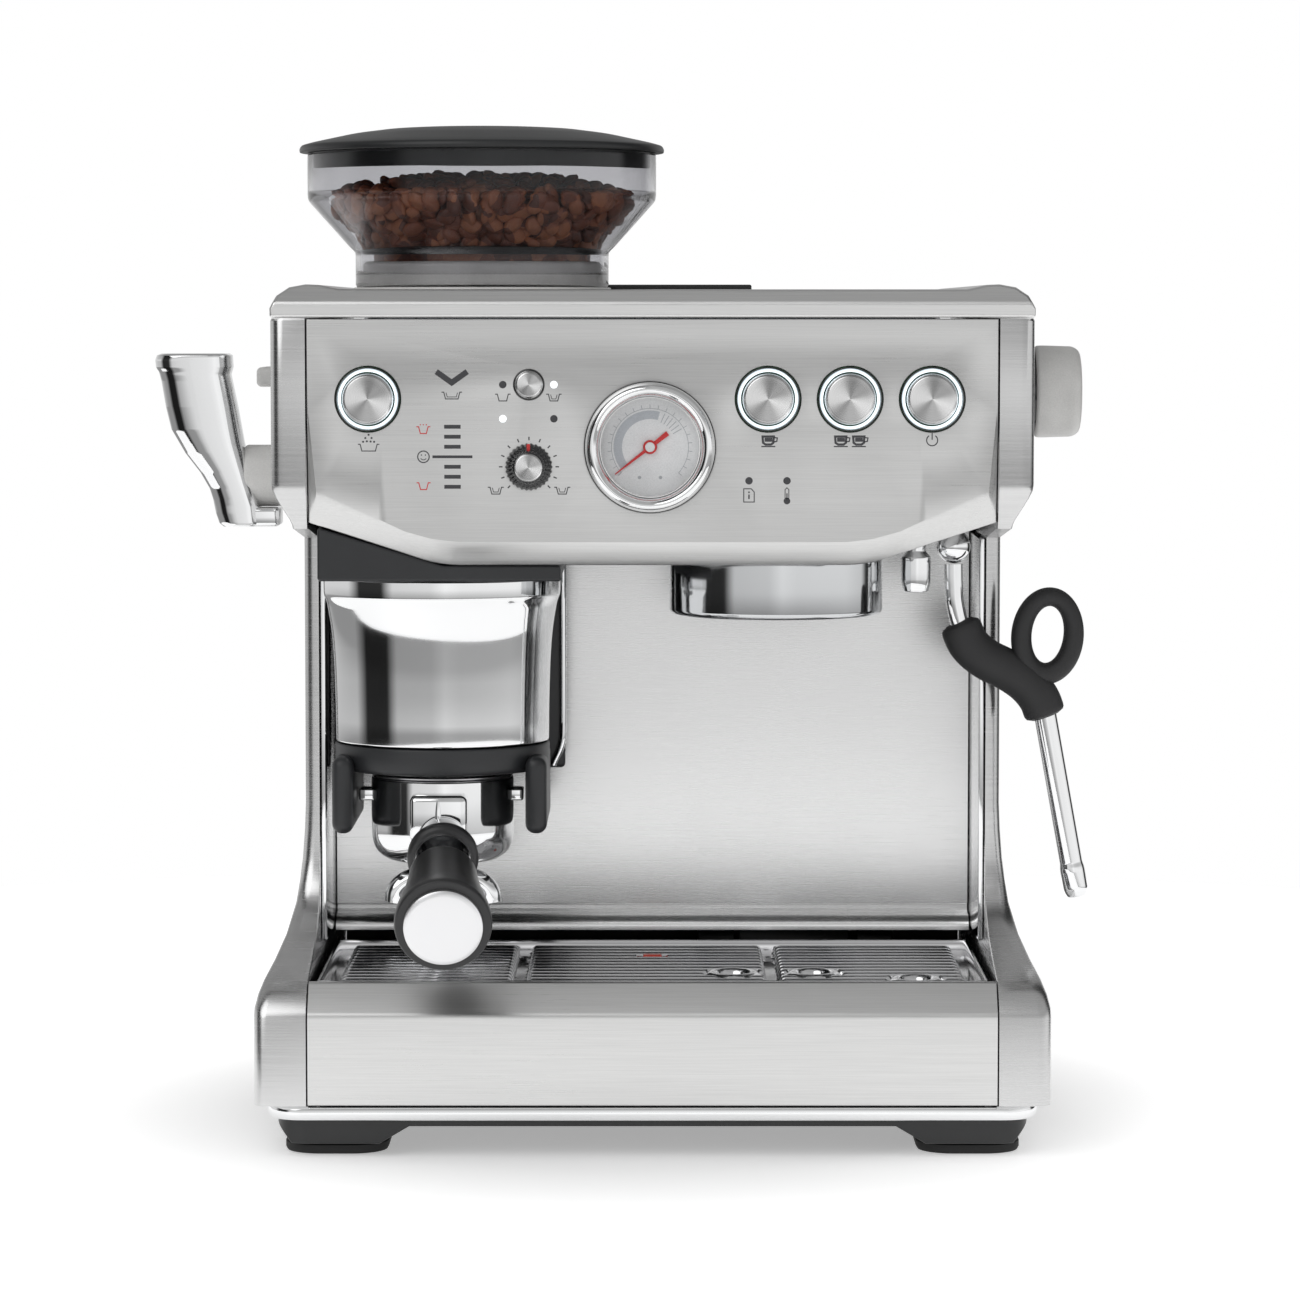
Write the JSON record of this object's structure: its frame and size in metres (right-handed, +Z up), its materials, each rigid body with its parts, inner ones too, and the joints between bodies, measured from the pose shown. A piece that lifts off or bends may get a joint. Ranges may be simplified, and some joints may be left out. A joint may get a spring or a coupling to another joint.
{
  "type": "espresso machine",
  "caption": "Home espresso machine in brushed stainless steel with a built-in bean grinder, a side tamping lever, a pressure gauge and a steam wand.",
  "frame": {"origin": "on the worktop under the middle of the machine's bounding box", "axes": "+Z up, -Y towards the front with the controls, +X to the right as seen from the front"},
  "size_m": [0.388, 0.3864, 0.4174],
  "materials": {
    "stainless": "fine horizontal brushing",
    "chrome": "mirror polish",
    "black_plastic": "satin",
    "grey_plastic": "satin",
    "smoked_plastic": "clear smoked plastic",
    "lens_glass": "clear",
    "light_plastic": "translucent white",
    "white_plastic": "satin",
    "rubber": "matt",
    "board": "green circuit board",
    "machined_steel": "turned",
    "red_plastic": "gloss"
  },
  "bodies": {
    "machine": {"base_pan": "black_plastic", "foot_front_left": "rubber", "foot_front_right": "rubber", "foot_rear_left": "rubber", "foot_rear_right": "rubber", "base_trim": "chrome", "left_side_panel": "stainless", "right_side_panel": "stainless", "back_cover": "black_plastic", "power_inlet": "black_plastic", "splash_panel": "stainless", "control_panel": "stainless", "light_guide": "light_plastic", "control_board": "board", "gauge_housing": "chrome", "gauge_lens": "lens_glass", "head_underside": "stainless", "top_cover": "stainless", "cup_tray": "stainless", "group_head": "chrome", "group_gasket": "rubber", "shower_screen": "stainless", "tamp_housing": "black_plastic", "tamp_cup": "chrome", "tamp_cradle": "black_plastic", "grinder_body": "machined_steel", "upper_burr": "machined_steel", "grinder_motor": "machined_steel", "pump": "black_plastic", "thermocoil": "machined_steel", "hot_water_spout": "chrome"},
    "dose_press": {"dose_button": "stainless"},
    "one_cup_press": {"one_cup_button": "stainless"},
    "two_cup_press": {"two_cup_button": "stainless"},
    "power_press": {"power_button": "stainless"},
    "filter_press": {"filter_button": "stainless"},
    "dose_knob": {"dose_dial": "black_plastic"},
    "needle": {"gauge_needle": "red_plastic"},
    "steam_knob": {"steam_dial": "grey_plastic"},
    "grind_knob": {"grind_dial": "grey_plastic"},
    "lever": {"tamp_lever": "chrome"},
    "tamp_piston": {"tamper": "machined_steel"},
    "hopper_body": {"hopper": "smoked_plastic"},
    "hopper_cover": {"hopper_lid": "black_plastic"},
    "tank": {"water_tank": "smoked_plastic"},
    "tank_cover": {"tank_lid": "black_plastic"},
    "tray": {"drip_tray": "black_plastic", "tray_front": "stainless"},
    "grille": {"drip_grille": "chrome"},
    "float": {"tray_float": "red_plastic"},
    "portafilter": {"portafilter_body": "chrome", "filter_basket": "stainless", "portafilter_spout": "chrome", "portafilter_handle": "black_plastic", "handle_cap": "white_plastic"},
    "steam_swivel_ball": {"steam_ball": "chrome"},
    "wand": {"steam_wand": "chrome", "steam_grip": "rubber"},
    "burr": {"lower_burr": "machined_steel"},
    "motor_gear": {"drive_gear": "machined_steel"}
  },
  "joints": [
    {"name": "dose_button_press", "type": "slide", "parent": "machine", "child": "dose_press", "axis": [0, 1, 0], "range_m": [0, 0.0015], "stiffness_N_per_m": 300},
    {"name": "one_cup_button_press", "type": "slide", "parent": "machine", "child": "one_cup_press", "axis": [0, 1, 0], "range_m": [0, 0.0015], "stiffness_N_per_m": 300},
    {"name": "two_cup_button_press", "type": "slide", "parent": "machine", "child": "two_cup_press", "axis": [0, 1, 0], "range_m": [0, 0.0015], "stiffness_N_per_m": 300},
    {"name": "power_button_press", "type": "slide", "parent": "machine", "child": "power_press", "axis": [0, 1, 0], "range_m": [0, 0.0015], "stiffness_N_per_m": 300},
    {"name": "filter_button_press", "type": "slide", "parent": "machine", "child": "filter_press", "axis": [0, 1, 0], "range_m": [0, 0.0015], "stiffness_N_per_m": 300},
    {"name": "dose_dial_turn", "type": "hinge", "parent": "machine", "child": "dose_knob", "pos_m": [-0.03636, -0.12015, 0.2778], "axis": [0, 1, 0], "range_deg": [-135, 135]},
    {"name": "needle_turn", "type": "hinge", "parent": "machine", "child": "needle", "pos_m": [0.01204, -0.11215, 0.2856], "axis": [0, 1, 0], "range_deg": [0, 245], "stiffness_Nm_per_rad": 0.0002},
    {"name": "steam_dial_turn", "type": "hinge", "parent": "machine", "child": "steam_knob", "pos_m": [0.17804, -0.05015, 0.3068], "axis": [1, 0, 0], "range_deg": [-90, 90]},
    {"name": "grind_dial_turn", "type": "hinge", "parent": "machine", "child": "grind_knob", "pos_m": [-0.14496, 0.01985, 0.312], "axis": [1, 0, 0], "range_deg": [-135, 135]},
    {"name": "lever_pull", "type": "hinge", "parent": "machine", "child": "lever", "pos_m": [-0.14696, -0.03515, 0.2716], "axis": [1, 0, 0], "range_deg": [0, 80], "stiffness_Nm_per_rad": 1.2, "springref_deg": -5.73},
    {"name": "tamper_press", "type": "slide", "parent": "machine", "child": "tamp_piston", "axis": [0, 0, -1], "range_m": [0, 0.016]},
    {"name": "hopper_lift", "type": "slide", "parent": "machine", "child": "hopper_body", "axis": [0, 0, 1], "range_m": [0, 0.12]},
    {"name": "hopper_lid_lift", "type": "slide", "parent": "hopper_body", "child": "hopper_cover", "axis": [0, 0, 1], "range_m": [0, 0.1]},
    {"name": "tank_lift", "type": "slide", "parent": "machine", "child": "tank", "axis": [0, 0, 1], "range_m": [0, 0.3]},
    {"name": "tank_lid_open", "type": "hinge", "parent": "tank", "child": "tank_cover", "pos_m": [0.01304, 0.18285, 0.3426], "axis": [-1, 0, 0], "range_deg": [0, 100]},
    {"name": "tray_slide", "type": "slide", "parent": "machine", "child": "tray", "axis": [0, -1, 0], "range_m": [0, 0.16]},
    {"name": "grille_lift", "type": "slide", "parent": "tray", "child": "grille", "axis": [0, 0, 1], "range_m": [0, 0.008]},
    {"name": "float_rise", "type": "slide", "parent": "tray", "child": "float", "axis": [0, 0, 1], "range_m": [0, 0.006]},
    {"name": "portafilter_slide", "type": "slide", "parent": "machine", "child": "portafilter", "axis": [0, -1, 0], "range_m": [0, 0.1]},
    {"name": "steam_swivel", "type": "hinge", "parent": "machine", "child": "steam_swivel_ball", "pos_m": [0.13754, -0.05515, 0.243], "axis": [0, 0, 1], "range_deg": [-80, 0]},
    {"name": "steam_tilt", "type": "hinge", "parent": "steam_swivel_ball", "child": "wand", "pos_m": [0.13754, -0.05515, 0.243], "axis": [0, 1, 0], "range_deg": [-20, 8]},
    {"name": "burr_spin", "type": "hinge", "parent": "machine", "child": "burr", "pos_m": [-0.05896, -0.00015, 0.29], "axis": [0, 0, 1], "continuous": true},
    {"name": "motor_spin", "type": "hinge", "parent": "machine", "child": "motor_gear", "pos_m": [-0.05896, 0.06685, 0.255], "axis": [0, 0, 1], "continuous": true}
  ],
  "couplings": [
    {"joint": "tamper_press", "follows": "lever_pull", "m_per_rad": 0.0114},
    {"joint": "burr_spin", "follows": "motor_spin", "ratio": -0.75}
  ]
}
